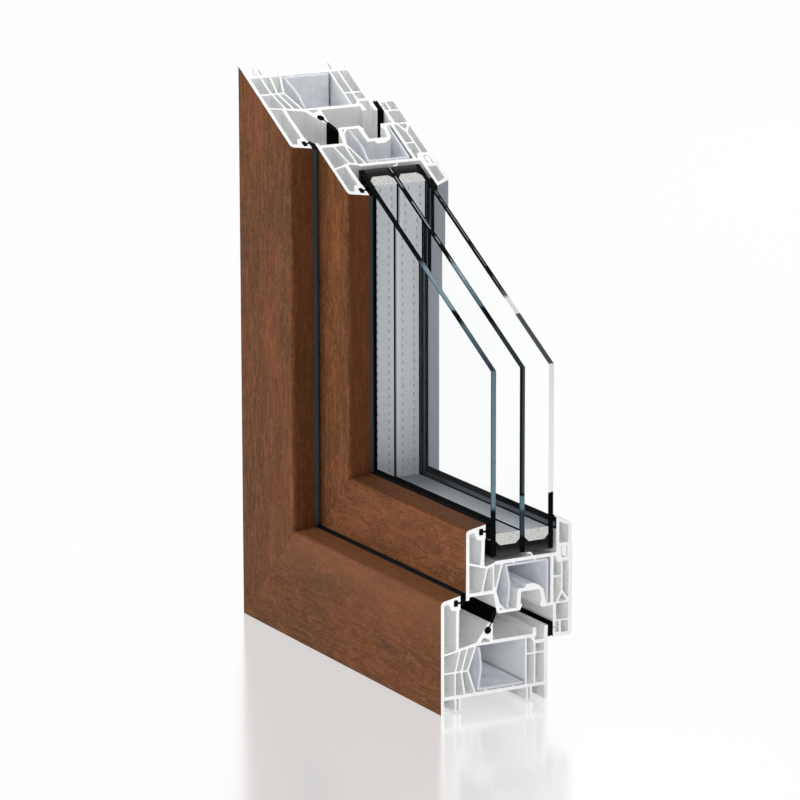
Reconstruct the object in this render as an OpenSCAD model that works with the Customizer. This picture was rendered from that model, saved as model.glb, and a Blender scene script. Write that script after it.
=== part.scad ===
// Corner sample of a plastic window: mitred frame and sash legs with a triple glazing unit.
// X runs along the rail, Y goes from outside to inside, Z goes up, origin under the middle.
// A section point is [depth from the outside face, height from the outer edge of the frame].

/* [Sample] */
// length of the lower rail from the outer corner to the square cut
rail_length = 284; // [260:1:340]
// height of the upright at its outer edge
upright_height = 393; // [360:1:460]
// slope of the display cut over the upright and the glass
cut_angle = 30; // [20:1:32]

/* [Profiles] */
// depth of the frame from outside to inside
frame_depth = 82; // [80:0.5:86]
// height of the front corner of the frame
frame_front_h = 77.5; // [75:0.5:84]
// clear height under the frame base
foot_h = 9.8; // [8:0.2:11]
// height of the front corner of the sash above its lower edge
sash_front_h = 47.6; // [46:0.2:56]
// slope of the upper faces of frame and sash
bevel_angle = 11; // [6:0.5:14]
// radius of the bend between front face and upper face
bend_r = 3; // [2:0.25:4]
// thickness of the visible walls
wall_t = 2.8; // [2.5:0.1:3.1]
// thickness of the inner webs
web_t = 1.2; // [0.9:0.1:1.4]
// inner corner radius of the chambers
chamber_r = 0.6; // [0.3:0.1:0.8]
// radius of the outer edges and the inner corners of the profiles
edge_r = 0.4; // [0.2:0.05:0.45]
// thickness of the wood grain foil
foil_t = 0.3; // [0.2:0.05:0.4]

/* [Steel] */
// thickness of the steel stiffeners
steel_t = 1.6; // [1.25:0.05:1.75]
// height of the small ribs that hold the steel off the plastic
rib_h = 0.8; // [0.5:0.1:1]
// how far the steel starts behind the mitre
steel_back = 6; // [3:1:30]

/* [Glazing] */
// thickness of each pane
pane_t = 4; // [4:0.25:5]
// width of each gap between panes
cavity_t = 18; // [18:0.5:20]
// height of the spacer
spacer_h = 8.2; // [7:0.2:9]
// depth of the edge seal under the spacer
seal_h = 7.2; // [6:0.2:8]
// free height under the edge of the glass
edge_gap = 3.2; // [2.5:0.1:5]

/* [Gaskets] */
// gap closed by the outer gaskets
gasket_gap = 4; // [3.5:0.1:4.5]
// gap closed by the inner glazing gasket
bead_gap = 2.3; // [2:0.1:3]
// free play of a gasket foot in its groove
foot_play = 0.15; // [0.1:0.05:0.25]
// wall of the hollow gasket heads
hollow_t = 0.8; // [0.6:0.05:1]

/* [Hidden] */
$fn = 16;
// reach of cutting shapes past the part
past = 1;
bend_steps = 6;
// depth of the outer leg of frame and sash
leg_d = 15;
// inside walls that nobody sees
inner_t = 2.4;
// lower edge of the sash below the front corner of the frame
sash_lap = 1.5;
// rebate floor of the frame below its front corner
rebate_h = 31.1;
// least width of the glazing bead and its step back from the inside face
bead_w = 11.8;
bead_step = 0.6;
// least depth of the overlap leg of the sash
leg_w = 14.7;
// radius of the gasket edges
gasket_r = 0.25;
// groove for a gasket foot behind the tip of a leg: its sides, its ends, its corners and its slot
groove_far = 5;
groove_near = 1.7;
groove_low = 7.4;
groove_top = 2.8;
groove_round = 0.8;
slot_low = 5.9;
slot_top = 4.3;
// groove in the overlap leg of the sash: its sides, its ends and its slot
leg_near = 1.5;
leg_far = 4.6;
leg_ends = [2.9, 10.1];
leg_slot = [5.7, 7.3];
plate_t = 1.25;
// slot of the round groove in the nose of the frame
neck_angle = 61;
neck_t = 1.2;
// lower ends of the gasket heads below the tips of frame and sash
stop_drop = 6.8;
glazing_drop = 10.4;
// how far the gasket heads stand over those tips
stop_rise = 1.4;
glazing_rise = 0.9;

// anchors of the frame
tip_h = frame_front_h + leg_d * tan(bevel_angle);
base_h = foot_h + inner_t;
floor_h = frame_front_h - rebate_h;
floor_low = floor_h - inner_t;
mid_h = (base_h + floor_low) / 2;
back_top = floor_h + 4.6;
nose_d = 39.7;
nose = [nose_d - 2.3, floor_h + 12.5];
nose_low = [nose_d, floor_h + 11.6];
groove_c = [nose_d - 3.8, floor_h + 7.2];
groove_r = 2.6;

// anchors of the sash
s = leg_d + gasket_gap;
sb = frame_front_h - sash_lap;
sash_corner = sb + sash_front_h;
sash_tip = [s + leg_d, sash_corner + leg_d * tan(bevel_angle)];
seat_h = sash_corner - 23.4;
seat_low = seat_h - inner_t;
lip_h = seat_h + 3.6;
glass_d = sash_tip[0] + gasket_gap;
unit_t = 3 * pane_t + 2 * cavity_t;
bead_d = glass_d + unit_t + bead_gap;
edge_h = seat_h + edge_gap;
leg_face = frame_depth + gasket_gap;
// inside face of the sash: the glass and its bead, or the frame and the overlap leg, whichever is deeper
sash_back = max(bead_d + bead_w + bead_step, leg_face + leg_w);
leg_low = sb - 34;
// points of the slanted wall the middle gasket leans on
lean_top = [s + 22.7, sb - 6.4];
lean_low = [s + 23.7, sb - 10.6];

// derived limits
slope = tan(cut_angle);
section_h = sash_tip[1] + 3;
half_web = web_t / 2;
f_line = wall_t - half_web;
s_line = s + wall_t - half_web;
base_line = base_h - half_web;
floor_line = floor_low + half_web;
seat_line = seat_low + half_web;

// list of the named pieces

function rev(p) = [for (i = [len(p) - 1 : -1 : 0]) p[i]];
function arc(c, r, a, b, n) = [for (i = [0 : n]) c + r * [cos(a + (b - a) * i / n), sin(a + (b - a) * i / n)]];

// point where a line from p along d meets the line through a and b
function meet(p, d, a, b) = p + d * cross(a - p, b - a) / cross(d, b - a);

// a closed outline of [x, y, radius] points with a short curve at each corner
function at(p, i) = let (q = p[(i + len(p)) % len(p)]) [q[0], q[1]];
function eased(p, n = 3) = [for (i = [0 : len(p) - 1])
    let (a = at(p, i - 1), b = at(p, i), c = at(p, i + 1),
        t = min(p[i][2], 0.4 * norm(a - b), 0.4 * norm(c - b)),
        from = b + t * (a - b) / norm(a - b), to = b + t * (c - b) / norm(c - b))
    for (k = [0 : t > 0 ? n : 0])
        let (u = k / n) (1 - u) * (1 - u) * from + 2 * u * (1 - u) * b + u * u * to];
// the same radius for every point of an outline
function with_r(p, r) = [for (q = p) [q[0], q[1], r]];

// front face, rounded bend and sloping upper face, taken in by inset
function front_path(face, foot, corner, inset) = concat(
    [[face + inset, foot]],
    arc([face + bend_r, corner - bend_r * tan((90 - bevel_angle) / 2)], bend_r - inset, 180, 90 + bevel_angle, bend_steps),
    [[face + leg_d, corner + leg_d * tan(bevel_angle) - inset / cos(bevel_angle)]]);

// round the outer corners and fill the inner corners of a section
module soft(r) offset(r = r) offset(r = -2 * r) offset(delta = r) children();

// strip of plastic under the foil, with the foil's own outline; the rounded profile starts inside it
strip_t = 1.2;
core_in = foil_t + strip_t / 2;
module front_strip(face, foot, corner)
    polygon(concat(front_path(face, foot, corner, foil_t + strip_t), rev(front_path(face, foot, corner, foil_t))));

// a chamber inside a cell drawn along the middle lines of its webs
module chamber(cell)
    offset(r = chamber_r) offset(delta = -half_web - chamber_r) polygon(cell);

// groove for a gasket foot in the tip of a leg
module tip_groove(tip) translate(tip) {
    polygon(eased(with_r([[-groove_far, -groove_low], [-groove_near, -groove_low],
        [-groove_near, -groove_top], [-groove_far, -groove_top]], groove_round)));
    translate([-groove_near - 0.8, -slot_low]) square([groove_near + 0.8, slot_low - slot_top]);
}

// two thin walls with outward hooks under the base
module clip_foot(d) {
    right = [[0.8, 0.5], [0.8, 1.5 - foot_h], [3.2, 1.5 - foot_h], [3.2, 2.6 - foot_h], [2.3, 3.4 - foot_h], [2.3, 0.5]];
    left = [for (p = right) [-p[0], p[1]]];
    translate([d, foot_h]) {
        polygon(rev(right));
        polygon(left);
    }
}

// FRAME SECTION

module frame_outline() {
    front_strip(0, 0, frame_front_h);
    soft(edge_r) {
        polygon(concat(
            front_path(0, 0, frame_front_h, core_in),
            [[leg_d, tip_h - 9.4], [leg_d - 0.8, tip_h - 10.4],
            [leg_d - 1.2, floor_h - 1.6], [leg_d - 0.4, floor_h - 2.4],
            [nose_d - 12.7, floor_h], [nose_d - 4.1, floor_h + 11.2], nose, nose_low, [nose_d, floor_h],
            [frame_depth - 11.5, floor_h], [frame_depth - 11.5, back_top - 0.4], [frame_depth - 8.8, back_top - 0.4],
            [frame_depth - 8.8, floor_h - 1.8], [frame_depth - 10, floor_h - 2.8], [frame_depth - 10, floor_h - 4.6],
            [frame_depth - wall_t, floor_h - 4.6], [frame_depth - wall_t, back_top],
            [frame_depth, back_top], [frame_depth, 0], [frame_depth - inner_t, 0], [frame_depth - inner_t, foot_h],
            [wall_t, foot_h], [wall_t, 0]]));
        clip_foot(12.9);
        clip_foot(frame_depth - 14.2);
    }
}

// middle lines of the webs in the outer third of the frame
web_a = [leg_d - 0.2, floor_line - 1.7];
web_a_mid = [11.2, mid_h];
web_a_low = [11, base_line];
web_b = [20.6, floor_line - 0.9];
web_b_mid = [15.9, mid_h];
web_b_low = [18.3, base_line];
apex = [20.7, mid_h];
apex_top = [26.8, floor_line];
apex_low = [26.4, base_line];
front_web = [f_line, floor_line - 3.8];
// walls towards the inside
wall_c = frame_depth - 16.8;
wall_d = frame_depth - 10;
wall_e = frame_depth - wall_t + half_web;
rear_web = mid_h + 4.9;

module frame_chambers() {
    chamber([front_web, [f_line, frame_front_h - wall_t + half_web], [6.6, frame_front_h - wall_t + 1.4],
        [8.6, tip_h - 9], [leg_d - 2.6, tip_h - 9.8], [leg_d - 2.9, floor_line - 2.1]]);
    chamber([front_web, web_a, web_a_mid, [f_line, mid_h]]);
    chamber([[f_line, mid_h], web_a_mid, web_a_low, [f_line, base_line]]);
    chamber([web_a, web_b, web_b_mid, web_a_mid]);
    chamber([web_a_mid, web_b_mid, web_b_low, web_a_low]);
    chamber([web_b, apex_top, apex, web_b_mid]);
    chamber([web_b_mid, apex, apex_low, web_b_low]);
    difference() {
        chamber([apex_top, apex, apex_low, [wall_c, base_line], [wall_c, floor_line]]);
        for (d = [34, wall_c - 10])
            translate([d, base_h - 0.2]) square([1.2, rib_h + 0.2]);
    }
    chamber([[wall_c, floor_line], [frame_depth - 13, floor_line], [wall_d - 0.4, floor_line - 3.4], [wall_d, rear_web], [wall_c, rear_web]]);
    chamber([[wall_c, rear_web], [wall_d, rear_web], [wall_d, base_line], [wall_c, base_line]]);
    chamber([[wall_d, floor_line - 4.6], [wall_e, floor_line - 4.6], [wall_e, rear_web], [wall_d, rear_web]]);
    chamber([[wall_d, rear_web], [wall_e, rear_web], [wall_e, base_line], [wall_d, base_line]]);
    polygon([[nose_d - 9.5, floor_h - 0.8], [nose_d - 7.1, floor_h + 2.5], [nose_d - 2.4, floor_h + 0.6], [nose_d - 2.4, floor_h - 0.8]]);
}

module nose_groove() {
    translate(groove_c) circle(r = groove_r, $fn = 24);
    translate(groove_c) rotate(neck_angle) translate([0, -neck_t / 2]) square([6, neck_t]);
}

module frame_section() difference() {
    frame_outline();
    frame_chambers();
    tip_groove([leg_d, tip_h]);
    nose_groove();
}

module frame_foil_section()
    polygon(concat(front_path(0, 0.1, frame_front_h, 0), rev(front_path(0, 0.1, frame_front_h, foil_t))));

// wall with a bend at half height and a flange that lies on the ribs of the base
steel_r = 0.15 * steel_t;
bend_in = 0.4 * steel_t;
bend_out = bend_in + 0.6 * steel_t;
steel_low = base_h + rib_h;
steel_top = floor_low - 1.2;
module frame_steel_section() {
    right = wall_c - 1.6;
    wall = [[28.4, steel_top], [30, mid_h + 1.4], [27.6, steel_low]];
    polygon(eased(concat(
        with_r([wall[0]], steel_r), with_r([wall[1], wall[2]], bend_out),
        with_r([[right, steel_low], [right, steel_low + steel_t]], steel_r),
        with_r([[wall[2][0] + steel_t + 0.3, steel_low + steel_t]], bend_in), with_r([wall[1] + [steel_t, 0]], bend_out),
        with_r([wall[0] + [steel_t, 0]], steel_r))));
}

// SASH SECTION

// hardware groove from the sash lower edge
hw_low = sb - 12;
hw_top = sb + 0.6;
hw_a = s + 42;
hw_b = s + 56.4;
// walls towards the inside
wall_g = bead_d - 3.2;
wall_h = sash_back - 8;
wall_i = sash_back - wall_t + half_web;
// level of the wall that closes the sash over the overlap leg
over_h = sb - 10.6;

module sash_outline() {
    front_strip(s, sb, sash_corner);
    floor_hook();
    soft(edge_r) polygon(concat(
        front_path(s, sb, sash_corner, core_in),
        [[sash_tip[0], sash_tip[1] - 9.4], [sash_tip[0] - 0.5, sash_tip[1] - 11],
        [s + 14, seat_h - 1.6], [s + 15.4, seat_h - 2.8], [s + 21.2, seat_h - 1.2], [s + 23.2, seat_h],
        [bead_d, seat_h], [bead_d, lip_h], [bead_d + 3.8, lip_h]],
        arc([bead_d + 6.2, seat_h - 2], 2.4, 180, 360, 8), [[bead_d + 8.6, lip_h], [sash_back, lip_h]],
        arc([sash_back - 2.5, leg_low + 2.5], 2.5, 0, -90, 4),
        [[leg_face, leg_low], [leg_face, hw_low], [hw_b + 1.6, hw_low], [hw_b + 0.4, hw_low + 2.6], [hw_b + 1.8, hw_low + 5.2],
        [hw_b, hw_top], [hw_a + 0.4, hw_top], [hw_a, hw_low + 5.2], [hw_a + 1.2, hw_low + 3.6], [hw_a - 0.4, hw_low],
        [s + 25.2, hw_low], lean_low, lean_top, [s + 21.2, sb + 2.2], [s + wall_t, sb + 2.2], [s + wall_t, sb]]));
}

// thin curved rib on the glazing seat, lower than the glass edge
module floor_hook() {
    reach = edge_gap - 0.1;
    c = [s + 48.2, seat_h - 0.2];
    curl = 115;
    polygon(concat(arc(c, reach, 0, curl, 8), arc(c, reach - 0.9, curl, 0, 8)));
}

// middle lines of the webs of the sash
leg_web = [s_line, seat_h + 0.5];
leg_web_end = [s + 15.2, seat_line - 2];
web_f_low = [s + 12.3, sb + 4];
web_h_top = [s + 21.2, seat_line];
web_h_low = [s + 21.2, sb + 4];
main_top = [s + 27.8, seat_line];
main_apex = [s + 22.7, sb + 3.4];
rib_top = [s + 25.6, sb - 5.8];
rib_low = [s + 30.4, hw_low + 1.6];

module sash_chambers() {
    chamber([leg_web, [s_line, sash_corner - wall_t + half_web], [s + 6.6, sash_corner - wall_t + 1.4],
        [s + 8.8, sash_tip[1] - 9.4], [s + leg_d - 2.4, sash_tip[1] - 10.6], [s + 11.7, seat_h - 1.9]]);
    chamber([leg_web, leg_web_end + [1, 0], web_f_low, [s_line, sb + 4]]);
    chamber([leg_web_end + [1, 0], web_h_top - [0, 0.9], web_h_low, web_f_low]);
    chamber([web_h_top, main_top, main_apex, web_h_low]);
    difference() {
        chamber([main_top, main_apex, rib_top, rib_low, [hw_a - 2.6, hw_low + 1.6], [hw_a - 1.7, hw_top + 1.8],
            [s + 45.6, hw_top + 1.8], [s + 46.6, hw_top + 4.2], [s + 51.8, hw_top + 4.2], [hw_b - 0.2, hw_top + 2],
            [hw_b + 2.6, hw_top - 0.4], [hw_b + 4.8, hw_low + 1.6], [wall_g - 0.6, hw_low + 1.6], [wall_g - 0.6, seat_line]]);
        for (d = [s + 36, wall_g - 14])
            translate([d, seat_low - rib_h]) square([1.2, rib_h + 0.2]);
    }
    chamber([rib_top + [0.2, -0.4], [s + 25.4, hw_low + 1.4], rib_low - [0, 0.2]]);
    chamber([[wall_g + 0.6, seat_line], [bead_d - 0.2, seat_line], [bead_d + 1.4, seat_h - 6.2], [wall_h, seat_h - 6.2],
        [wall_h, seat_h - 16.6], [wall_g + 0.6, seat_h - 16.6]]);
    chamber([[wall_g + 0.6, seat_h - 16.6], [wall_h, seat_h - 16.6], [wall_h, sb - 2.8], [wall_h - 3.8, over_h], [wall_g + 0.6, over_h]]);
    chamber([[wall_h + 0.2, sb - 3.2], [wall_i - 0.5, over_h], [wall_h - 3.6, over_h]]);
    chamber([[wall_h, seat_h - 6.2], [wall_i, seat_h - 6.2], [wall_i, over_h], [wall_h, sb - 2.8]]);
    chamber([[leg_face + 1.8, over_h], [wall_i, over_h], [wall_i, sb - 23], [leg_face + 1.8, sb - 23]]);
    chamber([[leg_face + 5.6, sb - 23], [wall_i, sb - 23], [wall_i, leg_low + 1.8], [leg_face + 5.6, leg_low + 1.8]]);
}

module leg_groove() translate([leg_face, leg_low]) {
    polygon(eased(with_r([[leg_near, leg_ends[0]], [leg_far, leg_ends[0]],
        [leg_far, leg_ends[1]], [leg_near, leg_ends[1]]], 0.3)));
    translate([0, leg_slot[0]]) square([leg_near + 0.5, leg_slot[1] - leg_slot[0]]);
}

module sash_section() difference() {
    sash_outline();
    sash_chambers();
    tip_groove(sash_tip);
    leg_groove();
}

module sash_foil_section()
    polygon(concat(front_path(s, sb, sash_corner, 0), rev(front_path(s, sb, sash_corner, foil_t))));

// wall with a bend, top flange under the ribs of the seat and a plain inner wall
module sash_steel_section() {
    top = seat_low - rib_h;
    low = hw_low + 2.6;
    right = wall_g - 2.8;
    wall = [[s + 29.8, top], [s + 32.6, sb + 7.5], [s + 31, low]];
    polygon(eased(concat(
        with_r([wall[0], wall[1]], bend_out), with_r([wall[2], wall[2] + [steel_t, 0]], steel_r),
        with_r([wall[1] + [steel_t, 0]], bend_out),
        with_r([[wall[0][0] + steel_t + 0.3, top - steel_t], [right - steel_t, top - steel_t]], bend_in),
        with_r([[right - steel_t, low], [right, low]], steel_r), with_r([[right, top]], bend_out))));
}

// BEAD, GLASS AND GASKETS

module bead_section() {
    right = sash_back - bead_step;
    difference() {
        soft(edge_r) polygon(concat([[bead_d, lip_h], [bead_d, sash_tip[1] - 2.5]],
            arc([right - 3, sash_tip[1] - 9], 3, 72, 0, 4),
            [[right, lip_h], [bead_d + 7.9, lip_h]], arc([bead_d + 6.2, seat_h - 2], 1.7, 360, 180, 8), [[bead_d + 4.5, lip_h]]));
        chamber([[bead_d + 1.8, lip_h + 1.8], [bead_d + 1.8, sash_tip[1] - 4.8], [right - 1.8, sash_tip[1] - 8.4], [right - 1.8, lip_h + 1.8]]);
    }
}

// spacer and sealant share the slanted corners
spacer_low = edge_h + seal_h;
bevel = 3;
module spacer_section(d)
    polygon([[d, spacer_low + spacer_h], [d + cavity_t, spacer_low + spacer_h], [d + cavity_t, spacer_low + bevel],
        [d + cavity_t - bevel, spacer_low], [d + bevel, spacer_low], [d, spacer_low + bevel]]);
module sealant_section(d)
    polygon([[d, edge_h], [d + cavity_t, edge_h], [d + cavity_t, spacer_low + bevel], [d + cavity_t - bevel, spacer_low],
        [d + bevel, spacer_low], [d, spacer_low + bevel]]);

// foot in the tip groove, neck, and a head with two hollows: the head touches the far face down to touch,
// ends in a tail at drop and stands over the tip by rise
module tip_gasket_section(tip, touch, drop, tail, rise) translate(tip) {
    g = gasket_gap;
    t = hollow_t;
    p = foot_play;
    web = -2.9 - t / 2;
    head = [[0, 0.5 - drop], [1, -drop], [tail, -drop - 0.4], [g, -touch],
        [g, rise - 1.1], [g - 0.9, rise], [1.1, rise - 0.1], [0, -0.5]];
    foot = [[-groove_near - p, -groove_top - p], [-groove_far + p, -groove_top - p],
        [-groove_far + p, -groove_low + p], [-groove_near - p, -groove_low + p]];
    upper = [[t, web + t], [g - t, web + t], [g - t, rise - 1.4], [g - 1.25, rise - t], [1.55, rise - 0.1 - t], [t, -0.95]];
    lower = [[t, web - t], [t, 0.5 - drop + t], [tail - 0.35, 0.1 - drop + t], [g - t - 0.25, web - t]];
    difference() {
        polygon(eased(concat(with_r(head, gasket_r),
            [[0, -slot_top - p, 0], [-groove_near - p, -slot_top - p, 0]], with_r(foot, groove_round - p / 2),
            [[-groove_near - p, -slot_low + p, 0], [0, -slot_low + p, 0]])));
        polygon(eased(with_r(upper, gasket_r)));
        polygon(eased(with_r(lower, gasket_r)));
    }
}

// bulb in the groove of the nose, neck, and a lip that leans on the slanted wall of the sash
module middle_gasket_section() {
    along = [cos(neck_angle), sin(neck_angle)];
    half = neck_t / 2 - foot_play;
    bulb = groove_r - foot_play;
    open = asin(half / bulb);
    side = half * [-along[1], along[0]];
    lean = lean_low - lean_top;
    lip = [nose_low, nose_low + [2.1, 4.8], lean_top + 0.85 * lean, lean_top + 0.3 * lean, nose + [1.5, 4.8], nose];
    polygon(eased(concat(
        with_r(arc(groove_c, bulb, neck_angle + open, neck_angle + 360 - open, 18), 0),
        with_r([meet(groove_c - side, along, nose, nose_low)], 0), with_r(lip, gasket_r),
        with_r([meet(groove_c + side, along, nose, nose_low)], 0))));
}

// plate in the groove of the overlap leg, neck, and a lip that leans on the inside wall of the frame
module sash_stop_section() translate([leg_face, leg_low]) {
    p = foot_play;
    back = frame_depth - leg_face;
    high = back_top - leg_low;
    lip = [[0, 0.6], [-1.6, 1.3], [back + 0.9, 0.4], [back + 0.9, 4], [back, high - 2], [back, high - 0.2], [-1.4, 11], [0, 10.4]];
    plate = [[leg_near + p, leg_ends[1] - p], [leg_near + p + plate_t, leg_ends[1] - p],
        [leg_near + p + plate_t, leg_ends[0] + p], [leg_near + p, leg_ends[0] + p]];
    polygon(rev(eased(concat(with_r(lip, gasket_r),
        [[0, leg_slot[1] - p, 0], [leg_near + p, leg_slot[1] - p, 0]], with_r(plate, gasket_r),
        [[leg_near + p, leg_slot[0] + p, 0], [0, leg_slot[0] + p, 0]]))));
}

module inner_glazing_section() {
    g = bead_gap;
    translate([bead_d, sash_tip[1]]) polygon(eased(with_r([[0, -2.7], [-0.6, -2.3], [-g, -3.9], [-g, -5.1], [-0.9, -4.9],
        [-0.9, -8.1], [-g, -8.1], [-g, -9.3], [-1.1, -10.2], [0, -10]], gasket_r)));
}

// RUNS AND CUTS

module placed() translate([-rail_length / 2, -sash_back / 2, 0]) children();

module side_prism(points)
    translate([0, sash_back + past, 0]) rotate([90, 0, 0]) linear_extrude(sash_back + 2 * past) polygon(points);

module run_x(start, end) rotate([90, 0, 90]) translate([0, 0, start]) linear_extrude(end - start) children();

module rail_leg() intersection() {
    run_x(0, rail_length) children();
    side_prism([[-past, -past], [rail_length + past, -past], [rail_length + past, section_h], [section_h, section_h]]);
}

module upright_leg(start = 0) intersection() {
    mirror([1, 0, -1]) run_x(start, upright_height + past) children();
    side_prism([[-past, -past], [section_h, section_h], [section_h, upright_height - slope * section_h], [-past, upright_height + slope * past]]);
}

module both_legs() {
    rail_leg() children();
    upright_leg() children();
}

module pane(d) translate([0, d + pane_t, 0]) rotate([90, 0, 0]) linear_extrude(pane_t)
    polygon([[edge_h, edge_h], [rail_length, edge_h], [rail_length, upright_height - slope * rail_length], [edge_h, upright_height - slope * edge_h]]);

// NAMED PIECES

module frame_rail() color([0.94, 0.94, 0.93]) placed() rail_leg() frame_section();
module frame_upright() color([0.94, 0.94, 0.93]) placed() upright_leg() frame_section();
module frame_rail_foil() color([0.42, 0.24, 0.16]) placed() rail_leg() frame_foil_section();
module frame_upright_foil() color([0.42, 0.24, 0.16]) placed() upright_leg() frame_foil_section();
module sash_rail() color([0.95, 0.95, 0.94]) placed() rail_leg() sash_section();
module sash_upright() color([0.95, 0.95, 0.94]) placed() upright_leg() sash_section();
module sash_rail_foil() color([0.45, 0.26, 0.17]) placed() rail_leg() sash_foil_section();
module sash_upright_foil() color([0.45, 0.26, 0.17]) placed() upright_leg() sash_foil_section();
module frame_rail_steel() color([0.62, 0.65, 0.7]) placed() run_x(floor_h + steel_back, rail_length) frame_steel_section();
module frame_upright_steel() color([0.62, 0.65, 0.7]) placed() upright_leg(floor_h + steel_back) frame_steel_section();
module sash_rail_steel() color([0.62, 0.65, 0.7]) placed() run_x(seat_h + steel_back, rail_length) sash_steel_section();
module sash_upright_steel() color([0.62, 0.65, 0.7]) placed() upright_leg(seat_h + steel_back) sash_steel_section();
module bead_rail() color([0.92, 0.92, 0.91]) placed() rail_leg() bead_section();
module bead_upright() color([0.92, 0.92, 0.91]) placed() upright_leg() bead_section();
module pane_outer() color([0.75, 0.85, 0.86]) placed() pane(glass_d);
module pane_middle() color([0.75, 0.85, 0.86]) placed() pane(glass_d + pane_t + cavity_t);
module pane_inner() color([0.75, 0.85, 0.86]) placed() pane(glass_d + 2 * (pane_t + cavity_t));
module spacer_outer() color([0.66, 0.67, 0.68]) placed() both_legs() spacer_section(glass_d + pane_t);
module spacer_inner() color([0.66, 0.67, 0.68]) placed() both_legs() spacer_section(glass_d + 2 * pane_t + cavity_t);
module sealant_outer() color([0.1, 0.1, 0.11]) placed() both_legs() sealant_section(glass_d + pane_t);
module sealant_inner() color([0.1, 0.1, 0.11]) placed() both_legs() sealant_section(glass_d + 2 * pane_t + cavity_t);
module frame_stop_gasket() color([0.08, 0.08, 0.09]) placed() both_legs() tip_gasket_section([leg_d, tip_h], 4.2, stop_drop, 1.6, stop_rise);
module middle_gasket() color([0.05, 0.05, 0.06]) placed() both_legs() middle_gasket_section();
module sash_stop_gasket() color([0.05, 0.05, 0.06]) placed() both_legs() sash_stop_section();
module glazing_gasket_outer() color([0.08, 0.08, 0.09]) placed() both_legs() tip_gasket_section(sash_tip, 9.4, glazing_drop, gasket_gap - 0.6, glazing_rise);
module glazing_gasket_inner() color([0.08, 0.08, 0.09]) placed() both_legs() inner_glazing_section();

frame_rail();
frame_upright();
frame_rail_foil();
frame_upright_foil();
sash_rail();
sash_upright();
sash_rail_foil();
sash_upright_foil();
frame_rail_steel();
frame_upright_steel();
sash_rail_steel();
sash_upright_steel();
bead_rail();
bead_upright();
pane_outer();
pane_middle();
pane_inner();
spacer_outer();
spacer_inner();
sealant_outer();
sealant_inner();
frame_stop_gasket();
middle_gasket();
sash_stop_gasket();
glazing_gasket_outer();
glazing_gasket_inner();
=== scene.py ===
# %% [markdown]
# A corner sample of a plastic window
#
# The real thing is a sales sample: one lower rail and one upright of a window, welded at the corner and
# sawn open, so that a buyer can look into the chambers, the steel, the gaskets and the three panes.
# The solids already have all the sections. This lesson dresses them: it gives each material its finish
# and adds the small things that a saw, a grinder and a glazier leave behind.

# %% Load the solids
import math

import bpy
import numpy as np
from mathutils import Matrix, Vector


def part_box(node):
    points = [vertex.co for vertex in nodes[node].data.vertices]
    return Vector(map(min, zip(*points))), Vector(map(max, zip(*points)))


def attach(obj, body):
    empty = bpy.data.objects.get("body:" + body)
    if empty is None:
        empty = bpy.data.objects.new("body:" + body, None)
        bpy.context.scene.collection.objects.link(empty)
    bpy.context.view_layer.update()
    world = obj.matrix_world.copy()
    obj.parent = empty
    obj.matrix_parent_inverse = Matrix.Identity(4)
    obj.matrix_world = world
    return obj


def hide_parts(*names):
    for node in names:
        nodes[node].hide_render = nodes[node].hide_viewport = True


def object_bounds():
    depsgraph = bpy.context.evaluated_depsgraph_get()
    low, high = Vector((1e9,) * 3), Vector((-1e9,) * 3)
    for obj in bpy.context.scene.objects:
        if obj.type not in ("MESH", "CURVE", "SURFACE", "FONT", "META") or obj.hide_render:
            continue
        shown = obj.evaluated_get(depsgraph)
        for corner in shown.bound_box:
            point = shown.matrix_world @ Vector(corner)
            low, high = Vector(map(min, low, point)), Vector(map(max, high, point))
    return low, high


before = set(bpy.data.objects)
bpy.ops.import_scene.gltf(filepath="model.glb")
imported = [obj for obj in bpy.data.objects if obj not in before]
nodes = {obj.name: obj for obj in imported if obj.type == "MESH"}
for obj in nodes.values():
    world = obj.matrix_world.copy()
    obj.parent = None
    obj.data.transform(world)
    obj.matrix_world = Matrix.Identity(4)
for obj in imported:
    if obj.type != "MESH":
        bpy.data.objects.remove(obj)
cad_low, cad_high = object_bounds()
print(len(nodes), "solids, box", [round(float(v), 4) for v in (*cad_low, *cad_high)])

# %% [markdown]
# Measures first. The sample stands with its outer corner at the lower left. A section point has a depth,
# which is Y, and a height above the outer edge of the frame, which is Z on the rail and X on the upright.
# These measures are read off the solids' boxes, so the dressing follows them; the few that a box can't
# give are named where they are used. The rail runs along axis 0 and the upright along axis 2.

# %% Measures of the sample
MM = 0.001
RAIL = 0
UPRIGHT = 2
corner_x = float(cad_low[0])
rail_end = float(cad_high[0])
upright_top = float(cad_high[2])
pane_low, pane_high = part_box("pane_outer")
cut_slope = (upright_top - pane_high[2]) / (pane_low[0] - corner_x)
cut_end = upright_top - cut_slope * (rail_end - corner_x)
foil_top = float(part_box("frame_rail_foil")[1][2])
sash_top = float(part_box("sash_rail_foil")[1][2])
bead_top = float(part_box("bead_rail")[1][2])
print("slope of the display cut:", round(math.degrees(math.atan(cut_slope)), 1), "degrees")

# %% [markdown]
# Shader maths reads best as sums. A small class wraps a socket: adding or multiplying two of them adds
# the Math node that does it. Every other node comes from one method, which first sets the node's
# settings and then the values or links of its sockets.

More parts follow.
